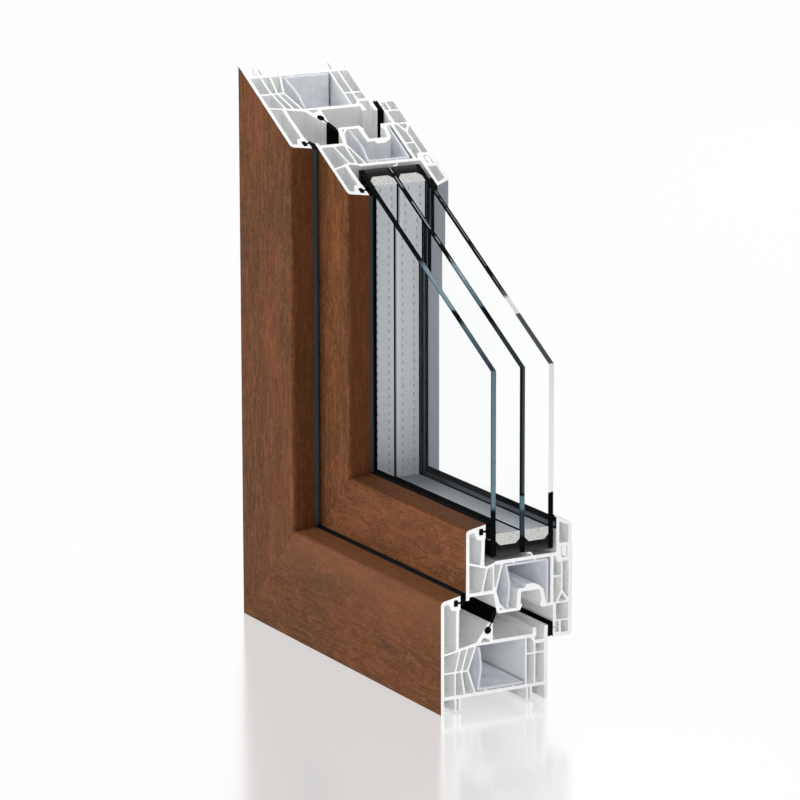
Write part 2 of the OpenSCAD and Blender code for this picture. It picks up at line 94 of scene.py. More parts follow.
# %% A socket that can be used in sums
class Wire:
    """An output socket of a material, with the operators that the finishes below use."""

    def __init__(self, tree, socket=None):
        self.tree = tree
        self.socket = socket

    def node(self, kind, settings=None, inputs=None, out=0):
        """Add a node, set it up, fill or link its inputs and return one of its outputs."""
        made = self.tree.nodes.new(kind)
        for name, value in (settings or {}).items():
            if name == "stops":
                set_stops(made.color_ramp, value)
            else:
                setattr(made, name, value)
        for name, value in (inputs or {}).items():
            if isinstance(value, Wire):
                self.tree.links.new(value.socket, made.inputs[name])
            else:
                made.inputs[name].default_value = value
        return Wire(self.tree, made.outputs[out])

    def math(self, operation, a, b=0.0):
        """One step of arithmetic on Wires or numbers."""
        return self.node("ShaderNodeMath", {"operation": operation}, {0: a, 1: b})

    def __add__(self, other):
        return self.math("ADD", self, other)

    def __radd__(self, other):
        return self.math("ADD", other, self)

    def __sub__(self, other):
        return self.math("SUBTRACT", self, other)

    def __rsub__(self, other):
        return self.math("SUBTRACT", other, self)

    def __mul__(self, other):
        return self.math("MULTIPLY", self, other)

    def __truediv__(self, other):
        return self.math("DIVIDE", self, other)

    def __gt__(self, other):
        return self.math("GREATER_THAN", self, other)

    def __lt__(self, other):
        return self.math("LESS_THAN", self, other)

    def __abs__(self):
        return self.math("ABSOLUTE", self)


def set_stops(ramp, stops):
    """Give a colour ramp its stops, each a place and a colour."""
    while len(ramp.elements) < len(stops):
        ramp.elements.new(1.0)
    for element, (place, colour) in zip(ramp.elements, stops):
        element.position = place
        element.color = colour


# %% [markdown]
# Colours are easier to judge as they look on a screen, from 0 to 255, so one helper turns them into the
# linear values that a shader wants. A second helper starts a material with Object coordinates, which
# are metres on this sample, and a third splits them into run, depth and height. The others make the usual
# steps: noise, ramps, blends, bumps, and masks that tell by place or direction what part a point is on.

# %% Helpers for finishes
MIX_FIRST = 6
MIX_SECOND = 7
MIX_COLOUR = 2


def screen(r, g, b):
    """A screen colour as linear values with full alpha."""
    part = np.array([r, g, b]) / 255.0
    linear = np.where(part <= 0.04045, part / 12.92, ((part + 0.055) / 1.055) ** 2.4)
    return (*linear.tolist(), 1.0)


def start(name):
    """A new material: the material, its Wire, its Principled shader and its Object coordinates."""
    material = bpy.data.materials.new(name)
    material.use_nodes = True
    wire = Wire(material.node_tree)
    shader = material.node_tree.nodes["Principled BSDF"]
    return material, wire, shader, wire.node("ShaderNodeTexCoord", out="Object")


def link(value, socket):
    """Join a Wire to an input of a shader."""
    value.tree.links.new(value.socket, socket)


def split(place):
    """The x, y and z of a vector."""
    parts = place.node("ShaderNodeSeparateXYZ", None, {0: place}).socket.node.outputs
    return [Wire(place.tree, part) for part in parts]


def stretched(place, scale):
    """Coordinates times a scale for each axis."""
    return place.node("ShaderNodeMapping", None, {"Vector": place, "Scale": scale})


def along_leg(place, along, squeeze):
    """Coordinates squeezed along one axis, so that noise on them is drawn out along the leg."""
    scale = [1.0, 1.0, 1.0]
    scale[along] = squeeze
    return stretched(place, scale)


def cloud(place, scale, detail=2.0, rough=0.5, wavy=0.0):
    """Soft noise from 0 to 1 with this many cells per metre."""
    shape = {"Scale": scale, "Detail": detail, "Roughness": rough, "Distortion": wavy}
    return place.node("ShaderNodeTexNoise", None, {"Vector": place, **shape})


def colour_ramp(value, stops):
    """A ramp of colours: pairs of place and colour."""
    return value.node("ShaderNodeValToRGB", {"stops": stops}, {0: value})


def ramp(value, *stops):
    """A grey ramp: pairs of place and level."""
    return colour_ramp(value, [(at, (level, level, level, 1.0)) for at, level in stops])


def blend(mask, first, second):
    """The first colour where the mask is 0, the second where it is 1, on a Mix node's colour sockets."""
    inputs = {0: mask, MIX_FIRST: first, MIX_SECOND: second}
    return mask.node("ShaderNodeMix", {"data_type": "RGBA"}, inputs, out=MIX_COLOUR)


def relief(shader, height, depth):
    """A bump of this depth in metres under the shader."""
    bump = height.node("ShaderNodeBump", None, {"Strength": 1.0, "Distance": depth, "Height": height})
    link(bump, shader.inputs["Normal"])


def facing(wire, direction):
    """How far the surface looks in a direction, from -1 to 1."""
    normal = wire.node("ShaderNodeNewGeometry", out="Normal")
    inputs = {0: normal, 1: direction}
    return wire.node("ShaderNodeVectorMath", {"operation": "DOT_PRODUCT"}, inputs, out="Value")


def mitre_line(x, z, half_width):
    """1 along the weld, where the run from the corner equals the height."""
    return abs(x - corner_x - z) < half_width * math.sqrt(2.0)


def rail_side(x, z):
    """1 on the rail's side of the mitre, 0 on the upright's."""
    return (x - corner_x) > z


def leg_height(along, x, z):
    """The height above the outer edge on one leg."""
    return z if along == RAIL else x - corner_x


def corner_height(x, z):
    """The height above the outer edge on a piece that runs round the corner."""
    on_rail = rail_side(x, z)
    return on_rail * z + (1.0 - on_rail) * (x - corner_x)


def any_ray(wire, *kinds):
    """1 for light rays of these kinds, as the Light Path node names them."""
    outputs = wire.node("ShaderNodeLightPath").socket.node.outputs
    found = Wire(wire.tree, outputs[kinds[0]])
    for kind in kinds[1:]:
        found = wire.math("MAXIMUM", found, Wire(wire.tree, outputs[kind]))
    return found


SAWN_FACING = 0.98
SAWN_NEAR = 0.2 * MM
cut_length = math.hypot(1.0, cut_slope)
CUT_NORMAL = (cut_slope / cut_length, 0.0, 1.0 / cut_length)


def sawn(wire, x):
    """1 on the two sawn faces: the square end of the rail and the sloping cut of the upright."""
    square_end = (facing(wire, (1.0, 0.0, 0.0)) > SAWN_FACING) * (x > rail_end - SAWN_NEAR)
    sloping = facing(wire, CUT_NORMAL) > SAWN_FACING
    return wire.math("MAXIMUM", square_end, sloping)


# %% [markdown]
# The foil is a printed film, a third of a millimetre thick, glued over the outside of the white
# plastic. It shows reddish timber, all drawn out along the leg: broad clouds and patches of red and
# olive, smoke, fine streaks, short flecks and dark pores. The film is also pressed, so the pores are
# shallow dents that catch light. The sash's print is a little paler. On the frame rail painted light makes
# the print paler towards the bend, painted shade darkens the faces of both rails that look up, and
# painted shade, redder as from light bounced off the foil, lies on the faces of the uprights that look
# along the rail. An image of timber would do, but stretched noise gives the same and never repeats.

# %% Timber foil
FOIL_LIGHT = (134, 87, 57)
FOIL_RED = (114, 66, 38)
FOIL_OLIVE = (84, 54, 32)
FOIL_PORE = (56, 34, 20)
# Painted shade: the darker, redder tone of the faces that look along the rail.
FOIL_SIDE_SHADE = (104, 57, 30)
FOIL_TONES = (FOIL_LIGHT, FOIL_RED, FOIL_OLIVE, FOIL_PORE, FOIL_SIDE_SHADE)
FOIL_WELD = 0.18 * MM
OUTER_EDGE_DARK_MM = 0.9
PORE_SHARE = {RAIL: 0.3, UPRIGHT: 0.14}
FRAME_LIFT = 1.0
SASH_LIFT = 1.06


def timber_foil(name, along, lift, upward_shade=0.0, top_light=0.0, side_shade=0.0):
    """Pressed timber foil with its grain along one leg.

    lift makes the whole print paler. The other three paint light and shade: light that pales the part near
    the bend, shade on the faces that look up, and shade, redder as from bounced light, on the faces that
    look along the rail.
    """
    light, red, olive, pore, shaded_side_tone = (screen(*(lift * np.array(tone))) for tone in FOIL_TONES)
    material, wire, shader, place = start(name)
    x, _, z = split(place)
    above = leg_height(along, x, z)

    def grain(squeeze, scale, detail, rough, wavy=0.0):
        """Noise drawn out along the leg."""
        return cloud(along_leg(place, along, squeeze), scale, detail, rough, wavy)

    broad = grain(0.3, 20.0, 2.0, 0.5, 0.8)
    patches = grain(0.3, 44.0, 3.0, 0.55)
    smoke = grain(0.4, 150.0, 3.0, 0.6, 1.6)
    streaks = grain(0.07, 460.0, 4.0, 0.65)
    flecks = grain(0.3, 950.0, 3.0, 0.6)
    pores = grain(0.2, 1800.0, 2.0, 0.5)

    colour = blend(ramp(patches, (0.36, 0.0), (0.62, 1.0)), olive, red)
    colour = blend(ramp(broad, (0.36, 0.75), (0.52, 0.0)), colour, olive)
    colour = blend(ramp(smoke, (0.34, 0.6), (0.5, 0.0)), colour, olive)
    colour = blend(ramp(smoke, (0.5, 0.0), (0.68, 0.55)), colour, light)
    colour = blend(ramp(streaks, (0.5, 0.0), (0.7, 0.62)), colour, light)
    colour = blend(ramp(streaks, (0.28, 0.5), (0.47, 0.0)), colour, olive)
    colour = blend(ramp(flecks, (0.5, 0.0), (0.7, 0.5)), colour, light)
    colour = blend(ramp(flecks, (0.3, 0.36), (0.48, 0.0)), colour, pore)
    pore_mask = ramp(pores, (0.34, 1.0), (0.46, 0.0))
    colour = blend(pore_mask * PORE_SHARE[along], colour, pore)
    # Painted light: the print is made paler towards the bend.
    if top_light:
        colour = blend(ramp(above / foil_top, (0.5, 0.0), (0.85, top_light)), colour, light)
    weld = mitre_line(x, z, FOIL_WELD)
    # Darker print within a hair of the outer edge, and along the weld.
    outer_edge_dark = ramp(above / MM, (0.0, 0.8), (OUTER_EDGE_DARK_MM, 0.0))
    colour = blend(wire.math("MAXIMUM", weld * 0.6, outer_edge_dark), colour, pore)
    # Painted shade, redder as from bounced light, on the faces that look along the rail.
    if side_shade:
        colour = blend(ramp(facing(wire, (1.0, 0.0, 0.0)), (0.55, 0.0), (0.85, side_shade)), colour, shaded_side_tone)
    # Painted shade on the faces that look up.
    if upward_shade:
        colour = blend(ramp(facing(wire, (0.0, 0.0, 1.0)), (0.55, 0.0), (0.85, upward_shade)), colour, pore)
    link(colour, shader.inputs["Base Color"])
    link(0.5 + pore_mask * 0.2 + streaks * 0.1, shader.inputs["Roughness"])
    shader.inputs["Specular IOR Level"].default_value = 0.08
    relief(shader, flecks * 0.5 - pore_mask, 0.05 * MM)
    return material


foil_finish = {
    "frame_rail_foil": timber_foil("frame_foil_rail", RAIL, FRAME_LIFT, upward_shade=0.25, top_light=0.45),
    "frame_upright_foil": timber_foil("frame_foil_upright", UPRIGHT, FRAME_LIFT, side_shade=0.4),
    "sash_rail_foil": timber_foil("sash_foil_rail", RAIL, SASH_LIFT, upward_shade=0.6),
    "sash_upright_foil": timber_foil("sash_foil_upright", UPRIGHT, SASH_LIFT, side_shade=0.55),
}
print(len(foil_finish), "finishes of timber foil")

# %% [markdown]
# The profiles are white plastic, pressed hot through a die. The die leaves faint lines along each leg,
# the saw leaves short scratches and a matt film on the two cuts, and the weld leaves a fine scraped
# line where the two legs meet at the corner. All three are in one finish, told apart by place and by
# where the surface looks. The beads have painted shade on the slope towards the glass, more of it on the
# upright.

# %% White plastic
PLASTIC = screen(252, 252, 251)
PLASTIC_SHADE = screen(248, 249, 249)
PLASTIC_SAWN = screen(253, 253, 252)
DIE_LINE = screen(228, 229, 231)
WELD_LINE = screen(205, 206, 208)
BEAD_SHADE = screen(160, 166, 174)
BEAD_SLOPE = 8.0 * MM
PLASTIC_WELD = 0.25 * MM


def white_plastic(name, along, grey=0.0):
    """Extruded white plastic with die lines along one leg, and painted shade on the bead's slope towards the
    glass where asked.
    """
    material, wire, shader, place = start(name)
    x, _, z = split(place)
    die_lines = cloud(along_leg(place, along, 0.01), 900.0, 2.0, 0.6)
    scratches = cloud(stretched(place, (400.0, 3600.0, 400.0)), 1.0, 3.0, 0.7)
    haze = cloud(place, 60.0, 2.0, 0.5)
    cut = sawn(wire, x)
    weld = mitre_line(x, z, PLASTIC_WELD)

    colour = blend(ramp(haze, (0.35, 0.0), (0.7, 1.0)), PLASTIC_SHADE, PLASTIC)
    colour = blend(ramp(die_lines, (0.54, 0.0), (0.70, 0.3)), colour, DIE_LINE)
    # Painted shade on the bead's slope towards the glass.
    if grey:
        towards = (0.0, 0.0, 1.0) if along == RAIL else (1.0, 0.0, 0.0)
        on_slope = leg_height(along, x, z) > bead_top - BEAD_SLOPE
        colour = blend(on_slope * ramp(facing(wire, towards), (0.3, 0.0), (0.5, grey)), colour, BEAD_SHADE)
    colour = blend(cut, colour, PLASTIC_SAWN)
    colour = blend(cut * ramp(scratches, (0.58, 0.0), (0.72, 0.5)), colour, PLASTIC_SHADE)
    colour = blend(weld * 0.5, colour, WELD_LINE)
    link(colour, shader.inputs["Base Color"])
    link(0.3 + cut * 0.3 + die_lines * 0.12, shader.inputs["Roughness"])
    shader.inputs["Specular IOR Level"].default_value = 0.4
    height = die_lines * (1.0 - cut) * 0.5 + scratches * cut - weld * 2.0
    relief(shader, height, 0.02 * MM)
    return material


plastic_rail = white_plastic("white_plastic_rail", RAIL)
plastic_upright = white_plastic("white_plastic_upright", UPRIGHT)
plastic_finish = {
    "frame_rail": plastic_rail,
    "sash_rail": plastic_rail,
    "bead_rail": white_plastic("bead_plastic_rail", RAIL, 0.45),
    "frame_upright": plastic_upright,
    "sash_upright": plastic_upright,
    "bead_upright": white_plastic("bead_plastic_upright", UPRIGHT, 1.0),
}
print("white plastic on", len(plastic_finish), "profiles")

# %% [markdown]
# The stiffeners are rolled from zinc coated strip. Zinc sets in flat crystals a few millimetres across,
# each with its own grey, and the rollers leave long fine lines. The sawn ends show duller, bare steel.
# Along the free edge of the strip a dark band is both its bare, uncoated edge from the shear and a painted
# shadow of the gap beside it. Voronoi cells are the crystals, and stretched noise makes the roller lines.

# %% Zinc coated steel
ZINC_LIGHT = screen(248, 249, 252)
ZINC_MAIN = screen(240, 242, 247)
ZINC_DARK = screen(214, 218, 228)
STEEL_CUT = screen(214, 217, 224)
STEEL_EDGE_AND_SHADOW = screen(74, 78, 86)
EDGE_AND_SHADOW_WIDTH = 0.55 * MM


def zinc_steel(name, along, node):
    """Rolled zinc coated strip with roller lines along one leg."""
    material, wire, shader, place = start(name)
    x, y, _ = split(place)
    crystals = place.node("ShaderNodeTexVoronoi", None, {"Vector": place, "Scale": 330.0}, out="Color")
    tone = crystals.node("ShaderNodeSeparateColor", None, {0: crystals})
    roller = cloud(along_leg(place, along, 0.02), 600.0, 3.0, 0.65)
    smear = cloud(place, 70.0, 3.0, 0.6)
    cut = sawn(wire, x)
    # Dark band at the strip's free edge: bare steel from the shear, and a painted shadow of the gap beside
    # it.
    bare_edge_and_shadow = y > float(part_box(node)[1][1]) - EDGE_AND_SHADOW_WIDTH
    colour = blend(ramp(tone, (0.0, 0.0), (1.0, 1.0)), ZINC_MAIN, ZINC_LIGHT)
    colour = blend(ramp(smear, (0.45, 0.0), (0.75, 0.7)), colour, ZINC_DARK)
    colour = blend(ramp(roller, (0.58, 0.0), (0.78, 0.4)), colour, ZINC_DARK)
    colour = blend(bare_edge_and_shadow, colour, STEEL_EDGE_AND_SHADOW)
    colour = blend(cut, colour, STEEL_CUT)
    link(colour, shader.inputs["Base Color"])
    link(0.46 + tone * 0.12 + roller * 0.1, shader.inputs["Roughness"])
    shader.inputs["Metallic"].default_value = 0.08
    relief(shader, roller + tone * 0.3, 0.02 * MM)
    return material


STEEL_NODES = {
    "frame_rail_steel": RAIL,
    "sash_rail_steel": RAIL,
    "frame_upright_steel": UPRIGHT,
    "sash_upright_steel": UPRIGHT,
}
steel_finish = {node: zinc_steel("zinc_" + node, along, node) for node, along in STEEL_NODES.items()}
print(len(steel_finish), "finishes of zinc coated steel")

# %% [markdown]
# Gaskets are extruded black rubber. On the upright the thin strips beside the foil are painted slate grey,
# a painted reflection on the black rubber; on the rail they look black. The gaskets deep in the sections are
# black all over, and the one in the sash's overlap is extruded together with a hard pale foot. The gasket
# behind the glass has painted bands of light and shade: slate with black at its top on the rail, and navy
# with a paler edge on the upright. Talc dust makes faint clouds on all of them.

# %% Black rubber
RUBBER_RAIL = screen(6, 6, 7)
RUBBER_UPRIGHT = screen(8, 8, 9)
SLATE_RAIL = screen(15, 17, 19)
SLATE_REFLECTION_UPRIGHT = screen(68, 76, 80)
RUBBER_DUST = screen(70, 77, 82)
RUBBER_SAWN = screen(12, 13, 14)
HARD_FOOT = screen(214, 215, 216)
FOOT_DEPTH = 2.9 * MM
OUT_OF_REACH = 1.0


def black_rubber(name, rail_tone, upright_tone, dark_from=OUT_OF_REACH, hard_from=OUT_OF_REACH):
    """Extruded rubber with a tone for each leg.

    From the depth dark_from on, the upright has the rail's tone; from hard_from on, there is the pale foot.
    """
    material, wire, shader, place = start(name)
    x, y, z = split(place)
    talc = cloud(place, 150.0, 4.0, 0.6)
    pits = cloud(place, 2600.0, 2.0, 0.5)
    cut = sawn(wire, x)
    body = blend(wire.math("MAXIMUM", rail_side(x, z), y > dark_from), upright_tone, rail_tone)
    colour = blend(ramp(talc, (0.55, 0.0), (0.9, 0.2)), body, RUBBER_DUST)
    colour = blend(cut, colour, RUBBER_SAWN)
    colour = blend(cut * ramp(pits, (0.55, 0.0), (0.75, 0.25)), colour, RUBBER_DUST)
    colour = blend(y > hard_from, colour, HARD_FOOT)
    link(colour, shader.inputs["Base Color"])
    link(0.5 + talc * 0.15 + cut * 0.3, shader.inputs["Roughness"])
    shader.inputs["Specular IOR Level"].default_value = 0.02
    relief(shader, pits + talc, 0.02 * MM)
    return material


# Painted reflection: on the upright the strips beside the foil are slate, and deeper in they are black.
SLATE_STRIPS = {
    "frame_stop_gasket": ("frame_rail_foil", 3.1 * MM),
    "glazing_gasket_outer": ("sash_rail_foil", 2.1 * MM),
}
rubber_finish = {}
for node, (foil, strip) in SLATE_STRIPS.items():
    dark_from = float(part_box(foil)[1][1]) + strip
    rubber_finish[node] = black_rubber("slate_" + node, SLATE_RAIL, SLATE_REFLECTION_UPRIGHT, dark_from)
rubber_black = black_rubber("black_rubber", RUBBER_RAIL, RUBBER_UPRIGHT)
hard_from = float(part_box("sash_stop_gasket")[1][1]) - FOOT_DEPTH
rubber_footed = black_rubber("footed_rubber", RUBBER_RAIL, RUBBER_UPRIGHT, hard_from=hard_from)

LIP_NAVY = screen(40, 45, 56)
LIP_SLATE = screen(88, 95, 104)
LIP_HIGHLIGHT = screen(104, 121, 130)
LIP_BLACK = screen(8, 9, 11)
LIP_RAIL_LIGHT_AND_SHADE = [(0.0, LIP_SLATE), (0.72, LIP_SLATE), (0.75, LIP_BLACK), (1.0, LIP_BLACK)]
LIP_UPRIGHT_LIGHT_AND_SHADE = [(0.0, LIP_NAVY), (0.62, LIP_NAVY), (0.66, LIP_HIGHLIGHT), (0.98, LIP_HIGHLIGHT), (1.0, LIP_BLACK)]


def lip_rubber(name, node):
    """The rubber behind the glass, with painted bands of light and shade from its foot up to the top of the
    bead.
    """
    foot = float(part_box(node)[0][2])
    material, wire, shader, place = start(name)
    x, _, z = split(place)
    rise = (corner_height(x, z) - foot) / (bead_top - foot)
    talc = cloud(place, 150.0, 4.0, 0.6)
    # Painted light and shade: bands of reflection, highlight and shadow, different on the rail and the
    # upright.
    colour = blend(rail_side(x, z), colour_ramp(rise, LIP_UPRIGHT_LIGHT_AND_SHADE), colour_ramp(rise, LIP_RAIL_LIGHT_AND_SHADE))
    colour = blend(ramp(talc, (0.55, 0.0), (0.9, 0.15)), colour, RUBBER_DUST)
    colour = blend(sawn(wire, x), colour, RUBBER_SAWN)
    link(colour, shader.inputs["Base Color"])
    link(0.5 + talc * 0.15, shader.inputs["Roughness"])
    shader.inputs["Specular IOR Level"].default_value = 0.02
    relief(shader, talc, 0.02 * MM)
    return material


rubber_finish["glazing_gasket_inner"] = lip_rubber("lip_rubber", "glazing_gasket_inner")
rubber_finish["middle_gasket"] = rubber_black
rubber_finish["sash_stop_gasket"] = rubber_footed
print(len(rubber_finish), "finishes of rubber")

# %% [markdown]
# The edge of the glass unit is filled with a black two part sealant. It is trowelled in, so it has a
# slight orange peel, and the saw drags it into fine streaks. On the sawn face it is greyer towards its outer
# edge.

# %% Edge sealant
SEAL_DEPTH = 7.2 * MM
SEALANT = screen(12, 12, 13)
SEALANT_PEEL = screen(24, 24, 25)
SEALANT_SAWN = screen(66, 66, 65)


def edge_sealant(name):
    """Trowelled sealant, its sawn face greyer towards its outer edge."""
    foot = float(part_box("sealant_outer")[0][2])
    material, wire, shader, place = start(name)
    x, _, z = split(place)
    rise = (corner_height(x, z) - foot) / SEAL_DEPTH
    peel = cloud(place, 500.0, 2.0, 0.5)
    drag = cloud(stretched(place, (300.0, 2400.0, 300.0)), 1.0, 3.0, 0.6)
    cut = sawn(wire, x)
    colour = blend(ramp(peel, (0.4, 0.0), (0.8, 1.0)), SEALANT, SEALANT_PEEL)
    colour = blend(cut * ramp(rise + drag * 0.2, (0.1, 1.0), (0.75, 0.1)), colour, SEALANT_SAWN)
    link(colour, shader.inputs["Base Color"])
    link(0.5 + peel * 0.2, shader.inputs["Roughness"])
    shader.inputs["Specular IOR Level"].default_value = 0.04
    relief(shader, peel + drag * cut, 0.06 * MM)
    return material


sealant = edge_sealant("edge_sealant")
print("edge sealant")

# %% [markdown]
# The spacers keep the panes apart. They are thin grey bars, filled with drying grains: the sawn ends
# show the pale grains, and the face towards the gap is mottled and has two rows of short slits that let
# the grains breathe. A painted reflection makes that face paler along both its edges, and the side faces
# against the glass pale. The rows follow each leg, so a mask picks the run or the height. Painted shade
# makes the rail leg darker, with fine lines along it, and painted light makes it paler towards the square
# cut.

# %% Grey spacer
SPACER = screen(244, 246, 249)
SPACER_SPECK_AND_REFLECTION = screen(252, 253, 254)
SPACER_GREY = screen(230, 235, 241)
SPACER_SLIT = screen(164, 168, 176)
RAIL_SHADE = screen(112, 116, 123)
RAIL_HALF_SHADE = screen(130, 134, 141)
RAIL_LIT = screen(162, 166, 172)
RAIL_LIGHT_AND_SHADE = [(0.5, RAIL_SHADE), (0.85, RAIL_HALF_SHADE), (1.0, RAIL_LIT)]
GRAIN_LIGHT = screen(226, 226, 222)
GRAIN_DARK = screen(180, 178, 173)
GRAIN_SPECK = screen(136, 132, 126)
SLIT_PITCH = 5.78 * MM
SLIT_LENGTH = 2.4 * MM
SLIT_WIDTH = 0.8 * MM
SLIT_ROWS = (0.25, 0.75)
WHOLE_PITCHES = 1000.0


def grey_spacer(name, node):
    """A mottled spacer with two rows of breathing slits and grains at its sawn ends.

    The slits repeat with the fraction of run over pitch; whole pitches keep that fraction positive.
    """
    low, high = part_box(node)
    width = float(high[1] - low[1])
    material, wire, shader, place = start(name)
    x, y, z = split(place)
    on_rail = rail_side(x, z)
    run = on_rail * x + (1.0 - on_rail) * z
    depth = (y - float(low[1])) / width
    ahead = abs(wire.math("FRACT", run / SLIT_PITCH + WHOLE_PITCHES) - 0.5) * SLIT_PITCH
    rows = [abs(depth - row) < 0.5 * SLIT_WIDTH / width for row in SLIT_ROWS]
    slits = wire.math("MAXIMUM", *rows) * (ahead < 0.5 * SLIT_LENGTH)
    cut = sawn(wire, x)
    grains = place.node("ShaderNodeTexVoronoi", None, {"Vector": place, "Scale": 1100.0}, out="Distance")
    specks = cloud(place, 1500.0, 2.0, 0.6)
    mottle = cloud(place, 420.0, 4.0, 0.7)
    drawn = cloud(stretched(place, (60.0, 2200.0, 2200.0)), 1.0, 3.0, 0.6)

    colour = blend(ramp(mottle, (0.35, 0.0), (0.7, 1.0)), SPACER_GREY, SPACER)
    # Painted shade on the rail leg, with painted light towards the square cut.
    rail_tone = colour_ramp((x - corner_x) / (rail_end - corner_x), RAIL_LIGHT_AND_SHADE)
    colour = blend(on_rail * ramp(drawn, (0.3, 1.0), (0.7, 0.85)), colour, rail_tone)
    # Painted reflection: the face is paler along both its edges.
    side_reflection = ramp(abs(depth - 0.5) * 2.0, (0.62, 0.0), (0.85, 0.8))
    colour = blend(side_reflection * (1.0 - on_rail * 0.9), colour, SPACER_SPECK_AND_REFLECTION)
    colour = blend(ramp(specks, (0.62, 0.0), (0.74, 0.7)), colour, SPACER_SPECK_AND_REFLECTION)
    colour = blend(slits * 0.75, colour, SPACER_SLIT)
    # Painted reflection: the side faces against the glass are pale.
    colour = blend(abs(facing(wire, (0.0, 1.0, 0.0))) > 0.9, colour, SPACER_SPECK_AND_REFLECTION)
    end = blend(ramp(grains, (0.3, 0.0), (0.7, 0.8)), GRAIN_LIGHT, GRAIN_DARK)
    end = blend(ramp(specks, (0.60, 0.0), (0.70, 0.75)), end, GRAIN_SPECK)
    colour = blend(cut, colour, end)
    link(colour, shader.inputs["Base Color"])
    link(0.45 + cut * 0.35, shader.inputs["Roughness"])
    height = (mottle * 0.4 - slits * 2.0) * (1.0 - cut) - grains * cut * 2.0
    relief(shader, height, 0.08 * MM)
    return material


spacer_finish = {node: grey_spacer("grey_" + node, node) for node in ("spacer_outer", "spacer_inner")}
print("spacers with a slit every", SLIT_PITCH / MM, "mm")

# %% [markdown]
# Now each solid takes its finish. A solid keeps its own mesh; only its material slot changes.

# %% Dress the solids
finishes = {
    **foil_finish,
    **plastic_finish,
    **rubber_finish,
    "sealant_outer": sealant,
    "sealant_inner": sealant,
    **steel_finish,
    **spacer_finish,
}
for node, material in finishes.items():
    nodes[node].data.materials.clear()
    nodes[node].data.materials.append(material)
print(len(finishes), "solids dressed")

# %% [markdown]
# The new pieces are surfaces on a grid of numbers. One helper turns a grid into a closed skin: it joins
# neighbouring points by four sided faces, closes the ring and caps both ends. The signed volume tells
# whether the faces look outwards, and if they don't, their order is turned.

# %% A skin over a grid
def quads(rows, ring):
    """Faces between each row of a grid and the next, the last point of a row joined to its first."""
    r, k = np.meshgrid(np.arange(rows - 1), np.arange(ring), indexing="ij")
    after = (k + 1) % ring
    corners = [r * ring + k, r * ring + after, (r + 1) * ring + after, (r + 1) * ring + k]
    return np.stack([c.ravel() for c in corners], axis=1)


def signed_volume(points, faces):
    """Six times the volume inside the faces, each cut into triangles from its first corner."""
    total = 0.0
    for face in faces:
        fan = points[np.asarray(face)]
        total += np.sum(np.cross(fan[1:-1], fan[2:]) * fan[0])
    return total


def skin(name, grid, materials):
    """A closed piece from a grid of rows, ring points and xyz; its last two faces cap the end rows."""
    rows, ring, _ = grid.shape
    points = grid.reshape(-1, 3)
    faces = quads(rows, ring).tolist()
    faces.append(list(range(ring))[::-1])
    faces.append(list(range((rows - 1) * ring, rows * ring)))
    if signed_volume(points, faces) < 0.0:
        faces = [face[::-1] for face in faces]
    mesh = bpy.data.meshes.new(name)
    mesh.from_pydata(points.tolist(), [], faces)
    for material in materials:
        mesh.materials.append(material)
    mesh.update()
    piece = bpy.data.objects.new(name, mesh)
    bpy.context.scene.collection.objects.link(piece)
    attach(piece, "root")
    return piece


# %% [markdown]
# Panes. A cut pane has razor edges, so the glazier grinds a small slope, the arris, round both faces.
# Four rings make it: a face ring set in by the arris, two full rings and the other face ring. The solids
# have plain square panes, so these stand for them, a hair thinner, to clear the rubber. The ground edge
# and the faces are different glass to the eye. The faces bend light and mirror a little. The edge is
# opaque, and what the long way through the glass would show is painted on it as reflections: bands of
# blue, grey, white and black along it, a painted dark edge of shade at both sides, and here and there
# painted glints, specks or a slate middle.

# %% Clear glass with ground edges
ARRIS = 0.45 * MM
AIR = 0.02 * MM
GLASS_TINT = (0.996, 0.998, 0.999, 1.0)
GLASS_BEND = 1.5
GLASS_MIRROR = 1.45
GLASS_GLOSS = 0.12
PLAIN_WHITE = (1.0, 1.0, 1.0, 1.0)

BLUE = screen(98, 124, 136)
BLUE_DARK = screen(48, 62, 74)
BLUE_LIGHT = screen(140, 164, 174)
PALE = screen(222, 232, 239)
INK = screen(6, 8, 10)
GREY = screen(84, 90, 96)
SLATE = screen(54, 62, 68)
WHITE = screen(250, 252, 254)

UPRIGHT_REFLECTION_BANDS = {
    "pane_outer": [(0.0, INK), (0.245, INK), (0.265, BLUE), (1.0, BLUE)],
    "pane_middle": [(0.0, INK), (0.08, INK), (0.10, BLUE_DARK), (0.22, BLUE_DARK), (0.24, BLUE),
                    (0.305, BLUE), (0.312, INK), (1.0, INK)],
    "pane_inner": [(0.0, INK), (0.304, INK), (0.308, WHITE), (1.0, WHITE)],
}
SLOPE_REFLECTION_BANDS = {
    "pane_outer": [(0.0, INK), (0.46, INK), (0.48, BLUE), (0.50, BLUE_LIGHT), (0.70, BLUE_LIGHT),
                   (0.71, INK), (0.76, INK), (0.79, BLUE), (1.0, BLUE_DARK)],
    "pane_middle": [(0.0, INK), (0.485, INK), (0.505, BLUE_LIGHT), (0.66, BLUE), (0.70, BLUE),
                    (0.715, INK), (0.77, INK), (0.81, SLATE), (1.0, SLATE)],
    "pane_inner": [(0.0, INK), (0.60, INK), (0.665, GREY), (0.68, WHITE), (0.75, WHITE),
                   (0.756, GREY), (1.0, GREY)],
}
NEVER = 2.0
RIM_SHADE = {"pane_outer": 1.0, "pane_middle": 1.0, "pane_inner": 0.15}
GLINT = {"pane_outer": 0.0, "pane_middle": 0.5, "pane_inner": 0.25}
GLINT_END = 0.66
GLINT_SPECK_START = {"pane_outer": 0.27, "pane_middle": NEVER, "pane_inner": NEVER}
LIT_CORE_START = {"pane_outer": NEVER, "pane_middle": 0.32, "pane_inner": NEVER}


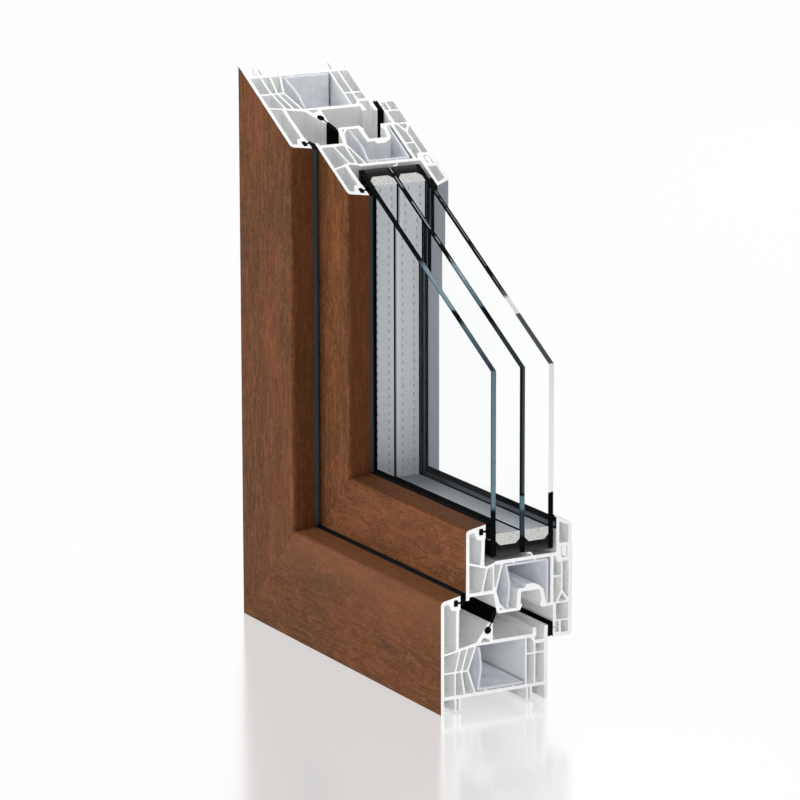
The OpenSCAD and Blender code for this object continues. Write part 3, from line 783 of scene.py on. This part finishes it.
def clear_face(name):
    """Clear glass: it bends the light that is seen through it, mirrors by its angle and shades nothing."""
    material, wire, shader, _ = start(name)
    tree = material.node_tree
    tree.nodes.remove(shader)
    bent = wire.node("ShaderNodeBsdfRefraction", None,
                     {"Color": GLASS_TINT, "Roughness": 0.0, "IOR": GLASS_BEND})
    gloss = wire.node("ShaderNodeBsdfGlossy", None, {"Color": PLAIN_WHITE, "Roughness": 0.0})
    clear = wire.node("ShaderNodeBsdfTransparent", None, {"Color": GLASS_TINT})
    angle = wire.node("ShaderNodeFresnel", None, {"IOR": GLASS_MIRROR})
    behind = wire.node("ShaderNodeNewGeometry", out="Backfacing")
    mirror = angle * (1.0 - behind) * GLASS_GLOSS
    seen = wire.node("ShaderNodeMixShader", None, {0: mirror, 1: bent, 2: gloss})
    unseen = any_ray(wire, "Is Shadow Ray", "Is Diffuse Ray")
    both = wire.node("ShaderNodeMixShader", None, {0: unseen, 1: seen, 2: clear})
    link(both, tree.nodes["Material Output"].inputs["Surface"])
    return material


def ground_edge(name, node, low, high):
    """The ground edge of one pane, with painted reflection bands along its upright and its sloping end."""
    material, wire, shader, place = start(name)
    x, y, z = split(place)
    up = (z - float(low[2])) / float(cut_end - low[2])
    over = (x - float(low[0])) / float(high[0] - low[0])
    across = (y - float(low[1])) / float(high[1] - low[1])
    aside = abs(y - 0.5 * float(low[1] + high[1])) / (0.5 * float(high[1] - low[1]))
    on_slope = facing(wire, (0.0, 0.0, 1.0)) > 0.3
    on_upright = 1.0 - on_slope
    wobble = cloud(place, 90.0, 2.0, 0.5) * 0.03 - 0.015
    grind = cloud(stretched(place, (200.0, 3000.0, 200.0)), 1.0, 3.0, 0.6)
    breaks = cloud(place, 70.0, 2.0, 0.6)
    specks = cloud(place, 1600.0, 2.0, 0.6)

    # Painted reflections: bands up the upright edge and along the sloping end.
    upright = colour_ramp(up + wobble, UPRIGHT_REFLECTION_BANDS[node])
    slope = colour_ramp(over + wobble, SLOPE_REFLECTION_BANDS[node])
    colour = blend(on_slope, upright, slope)
    # Painted glints on the sloping end.
    glint = ramp(aside, (0.1, 1.0), (0.35, 0.0)) * ramp(breaks, (0.47, 0.0), (0.53, 1.0))
    colour = blend(glint * on_slope * (over < GLINT_END) * GLINT[node], colour, PALE)
    # Painted specks of light on the upright edge.
    glint_specks = ramp(specks, (0.54, 0.0), (0.66, 0.4)) * on_upright * (up > GLINT_SPECK_START[node])
    colour = blend(glint_specks, colour, PALE)
    # Painted shade: a dark band at both sides of the edge.
    rim_shade = ramp(aside, (0.6, 0.0), (0.85, 0.65))
    colour = blend(rim_shade * RIM_SHADE[node], colour, INK)
    # Painted light: a lighter middle in the upright edge.
    lit_core = ramp(across, (0.2, 0.0), (0.75, 0.9)) * on_upright * (up > LIT_CORE_START[node])
    colour = blend(lit_core, colour, GREY)
    colour = blend(ramp(grind, (0.65, 0.0), (0.8, 0.05)), colour, PALE)
    link(colour, shader.inputs["Base Color"])
    link(0.3 + grind * 0.2, shader.inputs["Roughness"])
    shader.inputs["Specular IOR Level"].default_value = 0.02
    relief(shader, grind, 0.01 * MM)
    return material


def pane(node):
    """Four rings round the outline of a pane, the first and last set in by the arris.

    A corner moves in by the arris along (n + m) / (1 + n.m), where n and m are the inward directions of
    the two edges that meet there.
    """
    low, high = (np.asarray(v, float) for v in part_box(node))
    outline = np.array([[low[0], low[2]], [high[0], low[2]], [high[0], cut_end], [low[0], high[2]]])
    ahead = np.roll(outline, -1, axis=0) - outline
    ahead /= np.linalg.norm(ahead, axis=1, keepdims=True)
    inward = np.stack([-ahead[:, 1], ahead[:, 0]], axis=1)
    before = np.roll(inward, 1, axis=0)
    corner = (inward + before) / (1.0 + np.sum(inward * before, axis=1, keepdims=True))
    small = outline + ARRIS * corner
    flats = [small, outline, outline, small]
    depths = [low[1] + AIR, low[1] + ARRIS, high[1] - ARRIS, high[1] - AIR]
    rings = np.stack([np.insert(flat, 1, depth, axis=1) for flat, depth in zip(flats, depths)])
    edge = ground_edge("ground_" + node, node, low, high)
    piece = skin(node + "_ground", rings, [glass_face, edge])
    takes_edge = np.ones(len(piece.data.polygons), dtype=np.int32)
    takes_edge[-2:] = 0
    piece.data.polygons.foreach_set("material_index", takes_edge)
    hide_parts(node)
    return piece


glass_face = clear_face("clear_glass")
panes = [pane(node) for node in ("pane_outer", "pane_middle", "pane_inner")]
print(len(panes), "panes with an arris of", ARRIS / MM, "mm")

# %% [markdown]
# Each spacer is stuck to its panes with a thread of butyl, and where that is squeezed out into the gap it
# makes a thin black line beside the spacer: on both sides of the outer one and on the inside of the inner
# one. It is a section carried along the rail, round the mitre and up the upright: a quarter round
# against the pane.

# %% Butyl lines
SPACER_HEIGHT = 8.2 * MM
BUTYL_SINK = 0.1 * MM
BUTYL_SIDES = {"spacer_outer": ("front", "back"), "spacer_inner": ("back",)}
BUTYL_SIZE = {"front": (0.42 * MM, 0.62 * MM), "back": (0.7 * MM, 0.95 * MM)}


def corner_run(section):
    """A section of depth and height, from the square cut to the mitre and on to the sloping cut.

    A point at depth d and height h is (rail_end, d, h) on the square cut, (corner_x + h, d, h) on the
    mitre and (corner_x + h, d, upright_top - cut_slope * h) on the sloping cut.
    """
    d, h = section.T
    across = corner_x + h
    stations = [(np.full_like(h, rail_end), h), (across, h), (across, upright_top - cut_slope * h)]
    return np.stack([np.stack([x, d, z], axis=1) for x, z in stations])


def butyl_section(side, spacer_top, towards, wide, tall):
    """A quarter round in the corner between a pane at depth side and the top of the spacer.

    At the angle t it is (side + towards * wide * cos t, spacer_top + tall * sin t).
    """
    turn = np.linspace(0.0, 0.5 * math.pi, 7)
    bead = np.stack([side + towards * wide * np.cos(turn), spacer_top + tall * np.sin(turn)], axis=1)
    foot = np.array([[side, spacer_top - BUTYL_SINK], [side + towards * wide, spacer_top - BUTYL_SINK]])
    return np.concatenate([bead, foot])


butyl_lines = []
for node, tags in BUTYL_SIDES.items():
    low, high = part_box(node)
    top = float(low[2]) + SPACER_HEIGHT
    for tag in tags:
        side, towards = (low[1], 1.0) if tag == "front" else (high[1], -1.0)
        grid = corner_run(butyl_section(float(side), top, towards, *BUTYL_SIZE[tag]))
        butyl_lines.append(skin("butyl_" + node + "_" + tag, grid, [rubber_black]))
print(len(butyl_lines), "butyl lines")

# %% [markdown]
# The gaskets on both sides of the glass end in a soft lip. The outer one licks up the outer pane and keeps
# rain out, and the inner one covers the joint between the bead and the inner pane. A lip is thin and
# bends with the glass, so it is added here as a fin: thick at its root, thin and round at its tip. It
# follows the same path as the butyl.

# %% Glazing lips
LIP_SINK = 0.6 * MM
OUTER_LIP = (3.2 * MM, 1.1 * MM, 0.4 * MM)
INNER_LIP = (2.7 * MM, 1.3 * MM, 0.5 * MM)


def lip_section(face, away, root, rise, thick, thin):
    """A fin on a pane at depth face.

    At the share t of its rise it is thick + (thin - thick) * t away from the glass, and a half round
    closes its tip.
    """
    t = np.linspace(0.0, 1.0, 6)
    front = np.stack([face + away * (thick + (thin - thick) * t), root + rise * t], axis=1)
    turn = np.linspace(0.0, math.pi, 7)[1:-1]
    tip_depth = face + away * 0.5 * thin * (1.0 + np.cos(turn))
    tip_height = root + rise + 0.5 * thin * np.sin(turn)
    tip = np.stack([tip_depth, tip_height], axis=1)
    back = np.array([[face, root + rise], [face, root]])
    return np.concatenate([front, tip, back])


outer_glass = float(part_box("pane_outer")[0][1]) - 0.5 * AIR
inner_glass = float(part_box("pane_inner")[1][1]) + 0.5 * AIR
lip_sections = {
    "glazing_lip": lip_section(outer_glass, -1.0, sash_top - LIP_SINK, *OUTER_LIP),
    "bead_lip": lip_section(inner_glass, 1.0, bead_top - LIP_SINK, *INNER_LIP),
}
lips = [skin(name, corner_run(section), [rubber_black]) for name, section in lip_sections.items()]
print(len(lips), "glazing lips")

# %% [markdown]
# After welding, the corner of the foil is scraped and the bare white seam is hidden with a pen of brown
# lacquer. That leaves a hair line, a little proud, from the outer corner over the bend to the gasket.
# The line is a grid too: one parameter follows the section of the foil, the other crosses the mitre.

# %% Lacquer on the mitres
BEVEL = math.radians(11.0)
BEND = 3.0 * MM
LACQUER_HALF_WIDTH = 0.34 * MM
LACQUER_CROWN = 0.02 * MM
LACQUER_SINK = 0.03 * MM
LACQUER_DARK = screen(56, 34, 23)
LACQUER_LIGHT = screen(84, 52, 36)


def foil_path(node):
    """Depth, height and outward direction along the foil: the front, the bend and the sloping face."""
    low, high = (np.asarray(v, float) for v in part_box(node))
    face, tip_d, foot, tip_h = low[1], high[1], low[2], high[2]
    corner_h = tip_h - (tip_d - face) * math.tan(BEVEL)
    centre = np.array([face + BEND, corner_h - BEND * math.tan(0.5 * (0.5 * math.pi - BEVEL))])
    turn = np.linspace(math.pi, 0.5 * math.pi + BEVEL, 13)
    out = np.stack([np.cos(turn), np.sin(turn)], axis=1)
    path = np.concatenate([[[face, foot]], centre + BEND * out, [[tip_d, tip_h]]])
    normals = np.concatenate([out[:1], out, out[-1:]])
    return path, normals


def lacquer_line(name, node):
    """A flat lens across the mitre.

    At the share s of its half width its height over the foil is (crown + sink) * (1 - s * s) - sink, and
    its under side lies two sinks below the foil.
    """
    path, normals = foil_path(node)
    share = np.linspace(-1.0, 1.0, 7)
    over = (LACQUER_CROWN + LACQUER_SINK) * (1.0 - share**2) - LACQUER_SINK
    under = np.full(len(share) - 2, -2.0 * LACQUER_SINK)
    lift = np.concatenate([over, under])
    ring = path[:, None, :] + normals[:, None, :] * lift[None, :, None]
    place = np.concatenate([share, share[-2:0:-1]]) * LACQUER_HALF_WIDTH
    x = corner_x + ring[:, :, 1] + np.maximum(place, 0.0)
    z = ring[:, :, 1] + np.maximum(-place, 0.0)
    grid = np.stack([x, ring[:, :, 0], z], axis=2)
    return skin(name, grid, [lacquer])


def brown_lacquer(name):
    """Brown pen lacquer, uneven and a little glossier than the foil."""
    material, _, shader, place = start(name)
    blotch = cloud(place, 700.0, 2.0, 0.6)
    colour = blend(ramp(blotch, (0.35, 0.0), (0.7, 1.0)), LACQUER_DARK, LACQUER_LIGHT)
    link(colour, shader.inputs["Base Color"])
    link(0.34 + blotch * 0.2, shader.inputs["Roughness"])
    shader.inputs["Specular IOR Level"].default_value = 0.08
    return material


lacquer = brown_lacquer("brown_lacquer")
lacquer_lines = [lacquer_line("mitre_lacquer_frame", "frame_rail_foil"),
                 lacquer_line("mitre_lacquer_sash", "sash_rail_foil")]
print(len(lacquer_lines), "lacquered mitres")

# %% [markdown]
# The stage is a wide white floor that mirrors faintly, as a glossy studio table does. To the camera it
# is white by itself, so the picture's ground stays clean; the object still darkens it, because a part of its
# white is real light that the object can block.

# %% Floor
SEEN_RAYS = ("Is Camera Ray", "Is Glossy Ray", "Is Transmission Ray")
FLOOR_HALF = 6.0
FLOOR_LINES = 5
FLOOR_TONE = (0.84, 0.84, 0.84, 1.0)
FLOOR_DUST = (0.8, 0.8, 0.8, 1.0)
FLOOR_OWN_WHITE = 0.96
FLOOR_MIRROR = 0.36


def studio_floor(name):
    """White for the camera, with a real diffuse part for shadows and a faint mirror."""
    material, wire, shader, place = start(name)
    tree = material.node_tree
    tree.nodes.remove(shader)
    dust = cloud(place, 3.0, 2.0, 0.5)
    tone = blend(dust * 0.02, FLOOR_TONE, FLOOR_DUST)
    real = wire.node("ShaderNodeBsdfDiffuse", None, {"Color": tone})
    white = wire.node("ShaderNodeEmission", None, {"Color": PLAIN_WHITE, "Strength": 1.0})
    share = any_ray(wire, *SEEN_RAYS) * FLOOR_OWN_WHITE
    ground = wire.node("ShaderNodeMixShader", None, {0: share, 1: real, 2: white})
    mirror = wire.node("ShaderNodeBsdfGlossy", None, {"Color": PLAIN_WHITE, "Roughness": 0.16})
    both = wire.node("ShaderNodeMixShader", None, {0: FLOOR_MIRROR, 1: ground, 2: mirror})
    link(both, tree.nodes["Material Output"].inputs["Surface"])
    return material


lines = np.linspace(-FLOOR_HALF, FLOOR_HALF, FLOOR_LINES)
gx, gy = np.meshgrid(lines, lines, indexing="ij")
floor_points = np.stack([gx.ravel(), gy.ravel(), np.zeros(gx.size)], axis=1)
cells = np.arange(FLOOR_LINES - 1)
first = np.add.outer(cells * FLOOR_LINES, cells).ravel()
floor_faces = np.stack([first, first + FLOOR_LINES, first + FLOOR_LINES + 1, first + 1], axis=1)
floor_mesh = bpy.data.meshes.new("studio_floor")
floor_mesh.from_pydata(floor_points.tolist(), [], floor_faces.tolist())
floor_mesh.materials.append(studio_floor("studio_floor"))
floor = bpy.data.objects.new("studio_floor", floor_mesh)
bpy.context.scene.collection.objects.link(floor)
print("floor of", 2.0 * FLOOR_HALF, "m")

# %% [markdown]
# Light. The sky is white to the camera and to mirrors, and weaker as a lamp, so that four soft boxes shape
# the sample: a large one in front for the foil, a large one behind for the faces that look away, a small
# one near the sawn end of the rail and a small one above the sloping cut. Light goes to and fro many times
# in white chambers, so it may bounce more often than usual.

# %% Sky and lamps
SKY_LIGHT = 0.24
SKY_TINT = (0.95, 0.98, 1.0, 1.0)
SOFT_BOXES = {
    "front_box": {"place": (-1.2, -2.0, 1.0), "target": (0.0, 0.0, 0.15), "size": 1.4, "power": 46.0},
    "section_box": {"place": (0.36, -0.08, 0.08), "target": (0.14, 0.0, 0.06), "size": 0.26, "power": 0.42},
    "back_box": {"place": (-1.0, 2.0, 0.5), "target": (0.0, 0.0, 0.15), "size": 1.4, "power": 26.0},
    "top_box": {"place": (-0.02, 0.02, 0.72), "target": (-0.08, 0.0, 0.36), "size": 0.34, "power": 1.35},
}


def white_sky():
    """A white backdrop for the eye, with less light than it shows."""
    world = bpy.data.worlds.new("white_sky")
    world.use_nodes = True
    tree = world.node_tree
    tree.nodes.clear()
    wire = Wire(tree)
    shown = wire.node("ShaderNodeBackground", None, {"Color": PLAIN_WHITE, "Strength": 1.0})
    lamp = wire.node("ShaderNodeBackground", None, {"Color": SKY_TINT, "Strength": SKY_LIGHT})
    both = wire.node("ShaderNodeMixShader", None, {0: any_ray(wire, *SEEN_RAYS), 1: lamp, 2: shown})
    out = tree.nodes.new("ShaderNodeOutputWorld")
    link(both, out.inputs["Surface"])
    bpy.context.scene.world = world


def aim(thing, place, target):
    """Put a lamp or camera at a place, with its -Z axis towards the target."""
    thing.location = place
    back = np.asarray(place, float) - np.asarray(target, float)
    back /= np.linalg.norm(back)
    flat = math.hypot(back[0], back[1])
    thing.rotation_euler = (math.atan2(flat, back[2]), 0.0, math.atan2(back[0], -back[1]))


def soft_box(name, place, target, size, power):
    """A square area lamp that mirrors do not show."""
    lamp = bpy.data.lights.new(name, "AREA")
    lamp.size = size
    lamp.energy = power
    box = bpy.data.objects.new(name, lamp)
    box.visible_glossy = False
    bpy.context.scene.collection.objects.link(box)
    aim(box, place, target)


white_sky()
for name, setting in SOFT_BOXES.items():
    soft_box(name, **setting)
bpy.context.scene.cycles.diffuse_bounces = 10
bpy.context.scene.cycles.max_bounces = 20
print("sky and", len(SOFT_BOXES), "soft boxes")

# %% [markdown]
# The camera stands to the right of the sample's front and a little above it, far away with a long lens,
# so that upright lines stay nearly parallel. Its place comes from fitting the corners of the sample.

# %% Camera
CAMERA_PLACE = (2.6964, -1.49875, 0.9092)
CAMERA_TARGET = (-0.0326, 0.01645, 0.1705)
CAMERA_ROLL = math.radians(-0.12)
CAMERA_LENS = 209.1

lens = bpy.data.cameras.new("sample_camera")
lens.sensor_width = 36.0
lens.sensor_fit = "HORIZONTAL"
lens.lens = CAMERA_LENS
lens.clip_end = 60.0
camera = bpy.data.objects.new("sample_camera", lens)
bpy.context.scene.collection.objects.link(camera)
aim(camera, CAMERA_PLACE, CAMERA_TARGET)
camera.rotation_euler.rotate_axis("Z", CAMERA_ROLL)
bpy.context.scene.camera = camera
print("camera with a lens of", CAMERA_LENS, "mm")

# %% [markdown]
# Last, the picture's tones are left as they are.

# %% Tones and the end
bpy.context.scene.view_settings.view_transform = "Standard"
